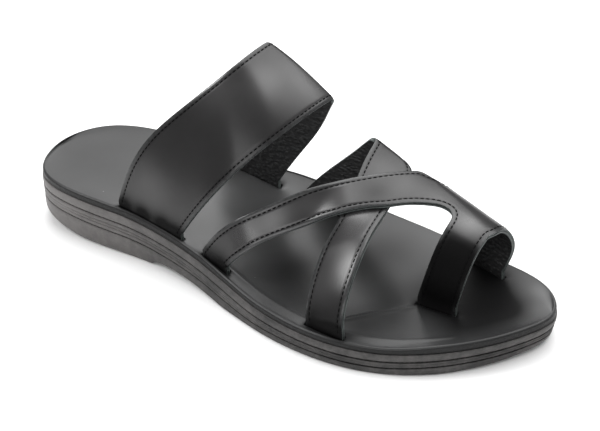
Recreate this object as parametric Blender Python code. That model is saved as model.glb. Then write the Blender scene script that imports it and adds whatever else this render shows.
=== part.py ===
"""Toe loop sandal, right foot, modelled from a men's footbed length.

The toe points along +X, the inner side of the foot is +Y and +Z is up. The origin is the middle of
the outsole's outline, on the floor. Tables give places as fractions of the named sizes: along counts
from the back of the heel, across from the straight inner-to-outer middle line of the heel.
"""
import math

import bmesh
import bpy
import numpy as np

# Driving sizes in metres
LENGTH = 0.2850
BALL_WIDTH = 0.0995
INSTEP_HEIGHT = 0.1155
HEEL_HEIGHT = 0.0303
FOREPART_HEIGHT = 0.0146
TOE_HEIGHT = 0.0173
INSOLE_THICK = 0.0040
STRAP_THICK = 0.0024

# Sole details
WELT = 0.0005
FIT_GAP = 0.0003
ARCH_RAISE = 0.0094
ARCH_AT = 0.45
ARCH_SPAN = 0.133
DISH_DEPTH = 0.0012
EDGE_ROUND = 0.0010
GROOVE_WIDTH = 0.0009
GROOVE_DEPTH = 0.0009
TREAD_DEPTH = 0.0012
TREAD_EDGE = 0.12
TREAD_ZONES = ((0.07, 0.15), (0.22, 0.28), (0.55, 0.64), (0.74, 0.92))

# Strap details
RISER = 0.0025
SLOT_EASE = 0.0004
CROWN_FULLNESS = 2.4
LOOP_FULLNESS = 2.603
LOOP_OUTER = -0.109

# Mesh fineness
STATIONS = 48
ACROSS_CELLS = 8


def table(names, rows):
    """Give a table's columns by name."""
    return dict(zip(names.split(), (np.array(column, float) for column in zip(*rows))))


# Outline of the footbed, seen from above
HEEL_TIP = (0.0, 0.0)
TOE_TIP = (1.005, 0.103)
OUTLINE = table("along inner outer", (
    (0.015, 0.159, -0.186),
    (0.055, 0.280, -0.314),
    (0.180, 0.369, -0.374),
    (0.311, 0.352, -0.362),
    (0.440, 0.383, -0.405),
    (0.575, 0.444, -0.503),
    (0.700, 0.456, -0.546),
    (0.825, 0.396, -0.467),
    (0.935, 0.327, -0.240),
    (0.982, 0.240, -0.070),
))

# Height of the footbed's rim, and of the ground side with how far its edge stands out in metres
PROFILE = table("along rest", (
    (0.000, 1.000),
    (0.105, 0.987),
    (0.245, 0.945),
    (0.340, 0.825),
    (0.421, 0.709),
    (0.500, 0.590),
    (0.579, 0.500),
    (0.684, FOREPART_HEIGHT / HEEL_HEIGHT),
    (0.790, 0.490),
    (0.895, 0.526),
    (1.000, TOE_HEIGHT / HEEL_HEIGHT),
))
GROUND = table("along lift spread rounding", (
    (0.000, 0.110, 0.0012, 0.0066),
    (0.080, 0.040, 0.0002, 0.0056),
    (0.160, 0.000, -0.0004, 0.0034),
    (0.300, 0.000, -0.0008, 0.0014),
    (0.308, 0.016, -0.0007, 0.0010),
    (0.318, 0.090, -0.0006, 0.0010),
    (0.335, 0.105, -0.0002, 0.0010),
    (0.400, 0.072, 0.0006, 0.0010),
    (0.460, 0.018, 0.0014, 0.0010),
    (0.500, 0.000, 0.0020, 0.0010),
    (0.580, 0.000, 0.0018, 0.0010),
    (0.680, 0.000, 0.0008, 0.0010),
    (0.880, 0.000, -0.0002, 0.0010),
    (0.940, 0.022, -0.0012, 0.0012),
    (1.005, 0.075, -0.0022, 0.0014),
))

# Depths of the side grooves below the outsole's top: a column each, from the back to the ball
GROOVES = table("along upper lower", (
    (0.00, 0.0044, 0.0104),
    (0.22, 0.0049, 0.0122),
    (0.70, 0.0034, 0.0067),
    (1.00, 0.0034, 0.0067),
))

# The foot's form under the straps: crest height and place, side places, roundness of both sides
# and how far the inner side bulges
FORM = table("along crest crest_across outer inner fullness inner_fullness bulge", (
    (0.246, 0.976, 0.042, -0.346, 0.326, 1.97, 1.73, 0.000),
    (0.368, 1.007, 0.183, -0.358, 0.302, 1.50, 1.69, 0.005),
    (0.491, 0.867, 0.265, -0.411, 0.293, 1.56, 2.01, 0.008),
    (0.614, 0.606, 0.331, -0.483, 0.336, 1.16, 2.11, 0.014),
    (0.737, 0.504, 0.266, -0.518, 0.372, 1.79, 2.19, 0.024),
    (0.895, 0.431, 0.115, -0.476, 0.268, 1.51, 1.92, 0.042),
))

# Straps: a row for each section, by its angle round the foot from inner side 0 to outer side 180
INSTEP = table("angle rear front", (
    (180.0, 0.243, 0.385),
    (150.0, 0.310, 0.472),
    (120.0, 0.407, 0.529),
    (90.0, 0.443, 0.556),
    (60.0, 0.425, 0.547),
    (30.0, 0.370, 0.514),
    (0.0, 0.276, 0.438),
))
CROSS = table("angle rear front", (
    (180.0, 0.674, 0.745),
    (150.0, 0.657, 0.736),
    (120.0, 0.655, 0.727),
    (90.0, 0.635, 0.715),
    (60.0, 0.613, 0.686),
    (30.0, 0.570, 0.647),
    (0.0, 0.489, 0.569),
))

# The crossing: how far the lower strap is pressed down between its angles, and the upper one raised
# between its rows
CROSS_SINK = 0.0012
CROSS_SINK_FROM = (60.0, 92.0)
CROSS_SINK_TO = (132.0, 162.0)
TOE_RAISE = 0.0006
TOE_RAISE_FROM = (1.8, 3.2)
TOE_RAISE_TO = (4.9, 6.3)

# Toe strap from its outer end to the inner side of the big toe, then the leg that closes the loop
TOE_STRAP = table("rear_angle rear front_angle front", (
    (180.0, 0.436, 180.0, 0.494),
    (165.5, 0.484, 167.2, 0.536),
    (148.7, 0.540, 151.2, 0.586),
    (125.2, 0.598, 130.5, 0.644),
    (107.8, 0.659, 112.1, 0.726),
    (95.6, 0.707, 98.0, 0.822),
    (85.5, 0.740, 98.0, 0.857),
    (70.6, 0.762, 98.0, 0.890),
    (50.3, 0.781, 63.3, 0.899),
    (26.2, 0.799, 30.4, 0.905),
    (0.0, 0.817, 0.0, 0.891),
))
LEG_FROM_ROW = 5
LEG_TO_ROW = 7
LEG = table("angle rear front", (
    (98.0, 0.822, 0.890),
    (120.0, 0.823, 0.888),
    (150.0, 0.815, 0.881),
    (180.0, 0.799, 0.868),
))


def through(places, values, at):
    """Follow a natural cubic through a table's column, straight past its ends."""
    at = np.asarray(at, float)
    count = len(places)
    step = np.diff(places)
    system = np.eye(count)
    right = np.zeros(count)
    for i in range(1, count - 1):
        system[i, i - 1:i + 2] = step[i - 1], 2 * (step[i - 1] + step[i]), step[i]
        right[i] = 6 * ((values[i + 1] - values[i]) / step[i] - (values[i] - values[i - 1]) / step[i - 1])
    bend = np.linalg.solve(system, right)
    i = np.clip(np.searchsorted(places, at) - 1, 0, count - 2)
    t = np.clip((at - places[i]) / step[i], 0, 1)
    level = (1 - t) * values[i] + t * values[i + 1]
    level = level + step[i] ** 2 / 6 * (((1 - t) ** 3 - (1 - t)) * bend[i] + (t ** 3 - t) * bend[i + 1])
    start = (values[1] - values[0]) / step[0] - step[0] * bend[1] / 6
    end = (values[-1] - values[-2]) / step[-1] + step[-1] * bend[-2] / 6
    return level + np.minimum(at - places[0], 0) * start + np.maximum(at - places[-1], 0) * end


def eased(places, values, at):
    """Follow a column with level turns at its rows, so that flat stretches stay flat."""
    at = np.clip(np.asarray(at, float), places[0], places[-1])
    i = np.clip(np.searchsorted(places, at) - 1, 0, len(places) - 2)
    t = (at - places[i]) / (places[i + 1] - places[i])
    slope = np.diff(values) / np.diff(places)
    rate = np.zeros(len(places))
    same = slope[:-1] * slope[1:] > 0
    rate[1:-1][same] = 2 * slope[:-1][same] * slope[1:][same] / (slope[:-1][same] + slope[1:][same])
    rate[0] = slope[0]
    rate[-1] = slope[-1]
    width = places[i + 1] - places[i]
    low = values[i] * (1 + 2 * t) * (1 - t) ** 2 + rate[i] * width * t * (1 - t) ** 2
    return low + values[i + 1] * t * t * (3 - 2 * t) - rate[i + 1] * width * t * t * (1 - t)


def ramp(limits, at):
    """Rise smoothly from 0 to 1 between two limits."""
    t = min(max((at - limits[0]) / (limits[1] - limits[0]), 0.0), 1.0)
    return t * t * (3 - 2 * t)


def rest_height(along, across):
    """Height of the footbed's rim over the floor, with the arch raised on the inner side."""
    raised = np.clip(across / 0.42, 0, 1.3) ** 2 * np.exp(-((along - ARCH_AT) / ARCH_SPAN) ** 2)
    return HEEL_HEIGHT * eased(PROFILE["along"], PROFILE["rest"], along) + ARCH_RAISE * raised


def outline_side(side):
    """Points of one side from heel tip to toe tip, evenly spaced, as along and across fractions."""
    other = "outer" if side == "inner" else "inner"
    rows = list(zip(OUTLINE["along"], OUTLINE[side]))
    back = list(zip(OUTLINE["along"], OUTLINE[other]))
    route = np.array([back[1], back[0], HEEL_TIP] + rows + [TOE_TIP, back[-1], back[-2]])
    scale = np.array([LENGTH, BALL_WIDTH])
    chord = np.linalg.norm(np.diff(route * scale, axis=0), axis=1) ** 0.75
    place = np.concatenate([[0], np.cumsum(chord)])
    fine = np.linspace(place[2], place[-3], 600)
    curve = np.stack([through(place, route[:, k], fine) for k in (0, 1)], 1)
    run = np.concatenate([[0], np.cumsum(np.linalg.norm(np.diff(curve * scale, axis=0), axis=1))])
    even = np.linspace(0, run[-1], STATIONS + 1)
    return np.stack([np.interp(even, run, curve[:, k]) for k in (0, 1)], 1)


def outline_ring():
    """The closed outline in metres, heel tip first and inner side next, with its outward normals."""
    inner = outline_side("inner")
    outer = outline_side("outer")
    ring = np.concatenate([inner, outer[-2:0:-1]])
    points = ring * np.array([LENGTH, BALL_WIDTH])
    run = np.roll(points, -1, 0) - np.roll(points, 1, 0)
    run = run / np.linalg.norm(run, axis=1)[:, None]
    return ring, points, np.stack([-run[:, 1], run[:, 0]], 1)


RING, RING_POINTS, RING_NORMALS = outline_ring()
MIDDLE = (RING_POINTS.max(0) + RING_POINTS.min(0)) / 2


def place(x, y, z):
    """Put a point given from the heel's back into the object's own frame."""
    return (float(x) - MIDDLE[0], float(y) - MIDDLE[1], float(z))


def bottom_height(along):
    return HEEL_HEIGHT * eased(GROUND["along"], GROUND["lift"], along)


def ground_rounding(along):
    return eased(GROUND["along"], GROUND["rounding"], along)


def outsole_top(along, across):
    return rest_height(along, across) - INSOLE_THICK


def material(name, colour, roughness):
    surface = bpy.data.materials.new(name)
    surface.use_nodes = True
    shader = surface.node_tree.nodes["Principled BSDF"]
    shader.inputs["Base Color"].default_value = (*colour, 1.0)
    shader.inputs["Roughness"].default_value = roughness
    shader.inputs["Metallic"].default_value = 0.0
    return surface


def make_object(name, points, faces, surface=None):
    """Build an object from its points and faces, with its faces turned outwards."""
    mesh = bpy.data.meshes.new(name)
    shape = bmesh.new()
    corners = [shape.verts.new(point) for point in points]
    for face in faces:
        shape.faces.new([corners[i] for i in face])
    bmesh.ops.recalc_face_normals(shape, faces=shape.faces)
    bmesh.ops.triangulate(shape, faces=shape.faces)
    shape.to_mesh(mesh)
    shape.free()
    item = bpy.data.objects.new(name, mesh)
    bpy.context.scene.collection.objects.link(item)
    if surface:
        mesh.materials.append(surface)
    return item


def slab(name, levels, top_of, bottom_of, surface):
    """Stack rings from top to bottom and close both ends with grids across the sole."""
    count = len(RING)
    spots = []
    points = []
    for outset, height_of in levels:
        spread = np.array([outset(along) if callable(outset) else outset for along in RING[:, 0]])
        level = RING_POINTS + spread[:, None] * RING_NORMALS
        spots.append(level)
        points.extend(place(x, y, height_of(*share)) for (x, y), share in zip(level, RING))
    faces = []
    for level in range(len(levels) - 1):
        upper = level * count
        for i in range(count):
            j = (i + 1) % count
            faces.append((upper + i, upper + j, upper + count + j, upper + count + i))
    for level, height_of in ((0, top_of), (len(levels) - 1, bottom_of)):
        ring = level * count
        rows = []
        for station in range(1, STATIONS):
            inner = spots[level][station]
            outer = spots[level][count - station]
            row = [ring + station]
            for cell in range(1, ACROSS_CELLS):
                share = cell / ACROSS_CELLS
                x, y = (1 - share) * inner + share * outer
                row.append(len(points))
                points.append(place(x, y, height_of(x / LENGTH, y / BALL_WIDTH, station, share)))
            rows.append(row + [ring + count - station])
        for row, following in zip(rows[:-1], rows[1:]):
            for k in range(ACROSS_CELLS):
                faces.append((row[k], row[k + 1], following[k + 1], following[k]))
        for tip, row in ((ring, rows[0]), (ring + STATIONS, rows[-1])):
            for k in range(ACROSS_CELLS):
                faces.append((tip, row[k], row[k + 1]))
    return make_object(name, points, faces, surface)


def groove_depth(groove, along):
    return eased(GROOVES["along"], GROOVES[groove], along)


def outsole_levels():
    """Rings of the outsole: top edge, two side grooves and the rounded bottom edge."""
    def side(depth_of, inset=0.0):
        def outset(along):
            depth = depth_of(along)
            full = HEEL_HEIGHT * eased(PROFILE["along"], PROFILE["rest"], along) - INSOLE_THICK
            share = min(depth / max(full - bottom_height(along), 0.004), 1.0)
            return WELT + share * eased(GROUND["along"], GROUND["spread"], along) - inset

        def height(along, across):
            lowest = bottom_height(along) + ground_rounding(along) + EDGE_ROUND
            return max(outsole_top(along, across) - depth_of(along), lowest)
        return outset, height

    levels = [(WELT - EDGE_ROUND / 2, outsole_top), side(lambda along: EDGE_ROUND / 2)]
    slope = 0.2 * GROOVE_WIDTH
    for groove in ("upper", "lower"):
        for below, inset in ((0, 0), (slope, GROOVE_DEPTH), (GROOVE_WIDTH - slope, GROOVE_DEPTH),
                             (GROOVE_WIDTH, 0)):
            levels.append(side(lambda along, g=groove, b=below: groove_depth(g, along) + b, inset))

    def foot_outset(along):
        return WELT + eased(GROUND["along"], GROUND["spread"], along)

    for turn in (0, 30, 60, 90):
        back = 1 - math.cos(math.radians(turn))
        up = 1 - math.sin(math.radians(turn))
        levels.append((lambda along, b=back: foot_outset(along) - b * ground_rounding(along),
                       lambda along, across, u=up: bottom_height(along) + u * ground_rounding(along)))
    return levels


def tread(along, across, station, share):
    """The ground side, with plain channels across the heel and the forepart inside a smooth border."""
    low = bottom_height(along)
    treaded = any(start < along < end for start, end in TREAD_ZONES)
    if treaded and station % 2 == 0 and TREAD_EDGE < share < 1 - TREAD_EDGE:
        return low + TREAD_DEPTH
    return low


def make_outsole():
    rubber = material("outsole_rubber", (0.065, 0.062, 0.062), 0.55)
    return slab("outsole", outsole_levels(), lambda along, across, station, share: outsole_top(along, across),
                tread, rubber)


def make_insole():
    """The footbed: a leather board with a rounded rim and a shallow dish."""
    def dished(along, across, station, share):
        hollow = 1 - (2 * share - 1) ** 4
        return rest_height(along, across) - DISH_DEPTH * hollow

    def lower(along, across):
        return outsole_top(along, across) + FIT_GAP

    levels = [
        (-1.4 * EDGE_ROUND, rest_height),
        (-0.4 * EDGE_ROUND, lambda along, across: rest_height(along, across) - 0.3 * EDGE_ROUND),
        (0.0, lambda along, across: rest_height(along, across) - EDGE_ROUND),
        (0.0, lower),
    ]
    leather = material("insole_leather", (0.055, 0.057, 0.058), 0.45)
    return slab("insole", levels, dished, lambda along, across, station, share: lower(along, across), leather)


def form_point(along, angle, loop=0.0):
    """A point on the straps' outer face: a rounded section of the foot, or of its big toe in the loop."""
    along = float(along)
    column = {name: float(through(FORM["along"], FORM[name], along)) for name in FORM}
    turn = math.radians(angle)
    outer = (1 - loop) * column["outer"] + loop * LOOP_OUTER
    outer_fullness = (1 - loop) * column["fullness"] + loop * LOOP_FULLNESS
    crown = (CROWN_FULLNESS + outer_fullness) / 2
    lean = abs(math.cos(turn))
    fullness = (1 - lean) * crown + lean * (outer_fullness if angle > 90 else column["inner_fullness"])
    side = outer if angle > 90 else column["inner"]
    reach = abs(math.cos(turn)) + 1e-9
    rise = abs(math.sin(turn)) + 1e-9
    radius = (reach ** fullness + rise ** fullness) ** (-1 / fullness)
    across = column["crest_across"] + (side - column["crest_across"]) * reach * radius
    base = float(rest_height(along, across)) + RISER
    if angle < 90:
        across += 2.6 * column["bulge"] * rise * reach ** 2
    height = base + (INSTEP_HEIGHT * column["crest"] - base) * rise * radius
    return np.array([along * LENGTH, across * BALL_WIDTH, height])


def sunk(along, angle, depth):
    """A form point moved towards the foot, along the form's own normal."""
    here = form_point(along, angle)
    lengthways = form_point(along + 0.002, angle) - here
    roundways = form_point(along, angle - 0.5) - here
    normal = np.cross(lengthways, roundways)
    return here - depth * normal / np.linalg.norm(normal)


def finer(strap, steps):
    """More sections between a strap table's rows, eased through every column."""
    rows = np.arange(len(next(iter(strap.values()))), dtype=float)
    at = np.linspace(rows[0], rows[-1], int(rows[-1]) * steps + 1)
    flat = {name for name, column in strap.items() if np.any(np.diff(column) == 0)}
    return {name: (eased if name in flat else through)(rows, column, at) for name, column in strap.items()}


def to_outsole(point):
    """The point straight below on the outsole, less the gap between the pieces."""
    x, y, _ = point
    return np.array([x, y, outsole_top(x / LENGTH, y / BALL_WIDTH) + FIT_GAP])


def grid_quads(rows):
    quads = []
    for row, following in zip(rows[:-1], rows[1:]):
        for k in range(len(row) - 1):
            quads.append((row[k], row[k + 1], following[k + 1], following[k]))
    return quads


def thick_solid(name, points, quads, surface):
    """Give a strap's outer face its thickness towards the foot and close its edges."""
    sheet = bmesh.new()
    corners = [sheet.verts.new(place(*point)) for point in points]
    for quad in quads:
        sheet.faces.new([corners[i] for i in quad])
    sheet.verts.index_update()
    bmesh.ops.recalc_face_normals(sheet, faces=sheet.faces)
    sheet.normal_update()
    highest = max(corners, key=lambda corner: corner.co.z)
    sign = 1.0 if highest.normal.z > 0 else -1.0
    outer = [tuple(corner.co) for corner in corners]
    inner = [tuple(corner.co - sign * STRAP_THICK * corner.normal) for corner in corners]
    count = len(outer)
    faces = [tuple(quad) for quad in quads]
    faces += [tuple(count + i for i in reversed(quad)) for quad in quads]
    for edge in sheet.edges:
        if len(edge.link_faces) == 1:
            first, last = (corner.index for corner in edge.verts)
            faces.append((first, last, count + last, count + first))
    sheet.free()
    return make_object(name, outer + inner, faces, surface)


def strap_sheet(strap, columns, sink=lambda angle: 0.0):
    """Outer-face points of a strap that runs from the footbed's outer side to its inner side."""
    rows = []
    for angle, rear, front in zip(strap["angle"], strap["rear"], strap["front"]):
        places = np.linspace(rear, front, columns + 1)
        rows.append([sunk(along, angle, sink(angle)) for along in places])
    return [[to_outsole(point) for point in rows[0]]] + rows + [[to_outsole(point) for point in rows[-1]]]


def numbered(rows):
    """Flatten rows of points and give each its number."""
    points = [point for row in rows for point in row]
    width = len(rows[0])
    numbers = [[r * width + k for k in range(width)] for r in range(len(rows))]
    return points, numbers


def make_instep_strap(leather):
    rows = strap_sheet(finer(INSTEP, 4), 6)
    points, numbers = numbered(rows)
    return thick_solid("instep_strap", points, grid_quads(numbers), leather), [rows[0], rows[-1]]


def make_cross_strap(leather):
    """The strap under the crossing, pressed down where the toe strap lies on it."""
    def sink(angle):
        return CROSS_SINK * ramp(CROSS_SINK_FROM, angle) * (1 - ramp(CROSS_SINK_TO, angle))

    rows = strap_sheet(finer(CROSS, 4), 4, sink)
    points, numbers = numbered(rows)
    return thick_solid("cross_strap_below", points, grid_quads(numbers), leather), [rows[0], rows[-1]]


def make_toe_strap(leather):
    """The strap from the outer side round the big toe, with the leg that closes its loop."""
    steps = 3
    columns = 4
    strap = finer(TOE_STRAP, steps)
    rows = []
    for number, (rear_angle, rear, front_angle, front) in enumerate(zip(*(strap[name] for name in TOE_STRAP))):
        row = number / steps
        loop = min(max(row - LEG_FROM_ROW + 1, 0), 1)
        raised = np.array([0, 0, TOE_RAISE * ramp(TOE_RAISE_FROM, row) * (1 - ramp(TOE_RAISE_TO, row))])
        rows.append([form_point(rear + share * (front - rear), rear_angle + share * (front_angle - rear_angle),
                                loop * share) + raised for share in np.linspace(0, 1, columns + 1)])
    ends = [[to_outsole(point) for point in rows[0]], [to_outsole(point) for point in rows[-1]]]
    points, numbers = numbered([ends[0]] + rows + [ends[1]])
    quads = grid_quads(numbers)
    first = LEG_FROM_ROW * steps
    last = LEG_TO_ROW * steps
    joint = [numbers[r + 1][-1] for r in range(first, last + 1)]
    fronts = strap["front"][first:last + 1]
    shares = (fronts - fronts[0]) / (fronts[-1] - fronts[0])
    leg = finer(LEG, 4)
    leg_numbers = [joint]
    below = None
    for angle, rear, front in list(zip(leg["angle"], leg["rear"], leg["front"]))[1:]:
        below = [form_point(rear + share * (front - rear), angle, loop=1.0) for share in shares]
        leg_numbers.append([len(points) + k for k in range(len(below))])
        points.extend(below)
    foot = [to_outsole(point) for point in below]
    leg_numbers.append([len(points) + k for k in range(len(foot))])
    points.extend(foot)
    quads += grid_quads(leg_numbers)
    return thick_solid("crossed_straps", points, quads, leather), ends + [foot]


def slot_prism(foot, inwards):
    """Points and faces of the slot round a strap's end, eased on every side."""
    row = np.array(foot)[:, :2]
    run = row[-1] - row[0]
    run = run / np.linalg.norm(run)
    row[0] -= SLOT_EASE * run
    row[-1] += SLOT_EASE * run
    across = np.gradient(row, axis=0)
    across = across / np.linalg.norm(across, axis=1)[:, None]
    inward = np.stack([-across[:, 1], across[:, 0]], 1)
    inward *= np.sign(inward[:, 1:2]) * inwards
    low = min(point[2] for point in foot) - INSOLE_THICK
    high = max(point[2] for point in foot) + 2.5 * INSOLE_THICK
    loop = list(row - SLOT_EASE * inward) + list((row + (STRAP_THICK + SLOT_EASE) * inward)[::-1])
    count = len(loop)
    points = [place(x, y, height) for height in (low, high) for x, y in loop]
    faces = [tuple(range(count)), tuple(range(count, 2 * count))]
    faces += [(i, (i + 1) % count, count + (i + 1) % count, count + i) for i in range(count)]
    return points, faces


def cut(item, cutter, operation):
    """Apply a Boolean between two closed shapes and hide the second."""
    change = item.modifiers.new(operation.lower(), "BOOLEAN")
    change.object = cutter
    change.operation = operation
    change.solver = "EXACT"
    cutter.hide_render = True
    cutter.display_type = "WIRE"


def main():
    for item in list(bpy.data.objects):
        bpy.data.objects.remove(item, do_unlink=True)
    make_outsole()
    insole = make_insole()
    leather = {name: material(name + "_leather", (0.022, 0.022, 0.024), 0.34)
               for name in ("instep_strap", "crossed_straps")}
    _, instep_feet = make_instep_strap(leather["instep_strap"])
    below, cross_feet = make_cross_strap(leather["crossed_straps"])
    toe_strap, toe_feet = make_toe_strap(leather["crossed_straps"])
    cut(toe_strap, below, "UNION")
    points = []
    faces = []
    slots = [(foot, 1) for foot in (instep_feet[0], cross_feet[0], toe_feet[0], toe_feet[2])]
    slots += [(foot, -1) for foot in (instep_feet[1], cross_feet[1], toe_feet[1])]
    for foot, inwards in slots:
        slot_points, slot_faces = slot_prism(foot, inwards)
        faces += [tuple(len(points) + i for i in face) for face in slot_faces]
        points += slot_points
    cut(insole, make_object("strap_slots", points, faces), "DIFFERENCE")


main()
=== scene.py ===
import math

import bmesh
import bpy
import numpy as np
from mathutils import Matrix, Vector
from mathutils.bvhtree import BVHTree
from mathutils.kdtree import KDTree


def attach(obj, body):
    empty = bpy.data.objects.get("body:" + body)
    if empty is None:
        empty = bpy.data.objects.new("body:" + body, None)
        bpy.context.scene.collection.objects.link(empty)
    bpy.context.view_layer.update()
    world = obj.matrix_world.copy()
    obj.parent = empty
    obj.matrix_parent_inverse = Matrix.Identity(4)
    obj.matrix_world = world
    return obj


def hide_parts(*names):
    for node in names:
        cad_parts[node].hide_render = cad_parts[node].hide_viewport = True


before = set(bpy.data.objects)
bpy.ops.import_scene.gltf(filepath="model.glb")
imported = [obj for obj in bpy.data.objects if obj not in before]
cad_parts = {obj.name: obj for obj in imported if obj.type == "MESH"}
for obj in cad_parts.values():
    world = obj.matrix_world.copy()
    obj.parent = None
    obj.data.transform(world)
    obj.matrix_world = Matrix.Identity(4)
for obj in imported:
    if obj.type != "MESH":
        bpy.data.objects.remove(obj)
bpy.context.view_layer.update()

# The solids' named sizes and short tables, in metres, or as shares of the length and of the ball width

foot = {
    "length": 0.2850,
    "ballWidth": 0.0995,
    "instepHeight": 0.1155,
    "heelHeight": 0.0303,
    "foreHeight": 0.0146,
    "toeHeight": 0.0173,
    "archRaise": 0.0094,
    "archAt": 0.45,
    "archSpan": 0.133,
    "archAcross": 0.42,  # where the arch has its full raise, towards the inner side
    "archMost": 1.3,
    "bulgeShape": 2.6,
    "riser": 0.0025,
    "crownFullness": 2.4,
    "loopFullness": 2.603,
    "loopOuter": -0.109,
    "middle": (0.1432125, -0.0042488),  # where the origin lies, from the back of the heel
}


def placed(name, data):
    thing = bpy.data.objects.new(name, data)
    bpy.context.scene.collection.objects.link(thing)
    return thing


def framed(x, y, z, at):  # a matrix from three directions and a place
    return Matrix((*zip(x, y, z, at), (0, 0, 0, 1)))


def runAlong(points):  # the length of a line up to each of its points
    return np.concatenate([[0], np.cumsum(np.linalg.norm(np.diff(points, axis=0), axis=1))])


def columns(names, rows):
    return dict(zip(names.split(), (np.array(column, float) for column in zip(*rows))))


outline = columns("along inner outer", (
    (0.015, 0.159, -0.186), (0.055, 0.280, -0.314), (0.180, 0.369, -0.374), (0.311, 0.352, -0.362),
    (0.440, 0.383, -0.405), (0.575, 0.444, -0.503), (0.700, 0.456, -0.546), (0.825, 0.396, -0.467),
    (0.935, 0.327, -0.240), (0.982, 0.240, -0.070),
))
heelTip = (0.0, 0.0)
toeTip = (1.005, 0.103)
profile = columns("along rest", (
    (0.000, 1.000), (0.105, 0.987), (0.245, 0.945), (0.340, 0.825), (0.421, 0.709), (0.500, 0.590),
    (0.579, 0.500), (0.684, foot["foreHeight"] / foot["heelHeight"]), (0.790, 0.490), (0.895, 0.526),
    (1.000, foot["toeHeight"] / foot["heelHeight"]),
))
ground = columns("along lift spread rounding", (
    (0.000, 0.110, 0.0012, 0.0066), (0.080, 0.040, 0.0002, 0.0056), (0.160, 0.000, -0.0004, 0.0034),
    (0.300, 0.000, -0.0008, 0.0014), (0.308, 0.016, -0.0007, 0.0010), (0.318, 0.090, -0.0006, 0.0010),
    (0.335, 0.105, -0.0002, 0.0010), (0.400, 0.072, 0.0006, 0.0010), (0.460, 0.018, 0.0014, 0.0010),
    (0.500, 0.000, 0.0020, 0.0010), (0.580, 0.000, 0.0018, 0.0010), (0.680, 0.000, 0.0008, 0.0010),
    (0.880, 0.000, -0.0002, 0.0010), (0.940, 0.022, -0.0012, 0.0012), (1.005, 0.075, -0.0022, 0.0014),
))
form = columns("along crest crestAcross outer inner fullness innerFullness bulge", (
    (0.246, 0.976, 0.042, -0.346, 0.326, 1.97, 1.73, 0.000),
    (0.368, 1.007, 0.183, -0.358, 0.302, 1.50, 1.69, 0.005),
    (0.491, 0.867, 0.265, -0.411, 0.293, 1.56, 2.01, 0.008),
    (0.614, 0.606, 0.331, -0.483, 0.336, 1.16, 2.11, 0.014),
    (0.737, 0.504, 0.266, -0.518, 0.372, 1.79, 2.19, 0.024),
    (0.895, 0.431, 0.115, -0.476, 0.268, 1.51, 1.92, 0.042),
))


def through(places, values, at):  # a natural cubic, straight past its ends
    at = np.asarray(at, float)
    count = len(places)
    gap = np.diff(places)
    system = np.eye(count)
    right = np.zeros(count)
    for i in range(1, count - 1):
        system[i, i - 1:i + 2] = gap[i - 1], 2 * (gap[i - 1] + gap[i]), gap[i]
        right[i] = 6 * ((values[i + 1] - values[i]) / gap[i] - (values[i] - values[i - 1]) / gap[i - 1])
    bend = np.linalg.solve(system, right)
    i = np.clip(np.searchsorted(places, at) - 1, 0, count - 2)
    t = np.clip((at - places[i]) / gap[i], 0, 1)
    level = (1 - t) * values[i] + t * values[i + 1]
    level = level + gap[i] ** 2 / 6 * (((1 - t) ** 3 - (1 - t)) * bend[i] + (t ** 3 - t) * bend[i + 1])
    start = (values[1] - values[0]) / gap[0] - gap[0] * bend[1] / 6
    end = (values[-1] - values[-2]) / gap[-1] + gap[-1] * bend[-2] / 6
    return level + np.minimum(at - places[0], 0) * start + np.maximum(at - places[-1], 0) * end


def eased(places, values, at):  # level turns at the rows, so that flat stretches stay flat
    at = np.clip(np.asarray(at, float), places[0], places[-1])
    i = np.clip(np.searchsorted(places, at) - 1, 0, len(places) - 2)
    t = (at - places[i]) / (places[i + 1] - places[i])
    slope = np.diff(values) / np.diff(places)
    rate = np.zeros(len(places))
    same = slope[:-1] * slope[1:] > 0
    rate[1:-1][same] = 2 * slope[:-1][same] * slope[1:][same] / (slope[:-1][same] + slope[1:][same])
    rate[0] = slope[0]
    rate[-1] = slope[-1]
    width = places[i + 1] - places[i]
    low = values[i] * (1 + 2 * t) * (1 - t) ** 2 + rate[i] * width * t * (1 - t) ** 2
    return low + values[i + 1] * t * t * (3 - 2 * t) - rate[i + 1] * width * t * t * (1 - t)


def step(low, high, at):
    t = np.clip((np.asarray(at, float) - low) / (high - low), 0, 1)
    return t * t * (3 - 2 * t)


def spotAt(along, across, height):  # a point in the object's frame, from its shares
    return np.stack([along * foot["length"] - foot["middle"][0],
                     across * foot["ballWidth"] - foot["middle"][1], height], -1)


def rest(along, across):  # height of the footbed's rim
    inwards = np.clip(across / foot["archAcross"], 0, foot["archMost"])
    raised = inwards ** 2 * np.exp(-((along - foot["archAt"]) / foot["archSpan"]) ** 2)
    return foot["heelHeight"] * eased(profile["along"], profile["rest"], along) + foot["archRaise"] * raised


def formPoints(along, angle, loop=0.0):  # the straps' outer face, from inner side 0 to outer side 180
    along, angle, loop = np.broadcast_arrays(*(np.asarray(v, float) for v in (along, angle, loop)))
    at = {name: through(form["along"], form[name], along) for name in form}
    turn = np.radians(angle)
    outer = (1 - loop) * at["outer"] + loop * foot["loopOuter"]
    outerFullness = (1 - loop) * at["fullness"] + loop * foot["loopFullness"]
    crown = (foot["crownFullness"] + outerFullness) / 2
    lean = np.abs(np.cos(turn))
    fullness = (1 - lean) * crown + lean * np.where(angle > 90, outerFullness, at["innerFullness"])
    side = np.where(angle > 90, outer, at["inner"])
    reach = np.abs(np.cos(turn)) + 1e-9
    rise = np.abs(np.sin(turn)) + 1e-9
    radius = (reach ** fullness + rise ** fullness) ** (-1 / fullness)
    across = at["crestAcross"] + (side - at["crestAcross"]) * reach * radius
    base = rest(along, across) + foot["riser"]
    across = across + np.where(angle < 90, foot["bulgeShape"] * at["bulge"] * rise * reach ** 2, 0)
    height = base + (foot["instepHeight"] * at["crest"] - base) * rise * radius
    return spotAt(along, across, height)


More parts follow.
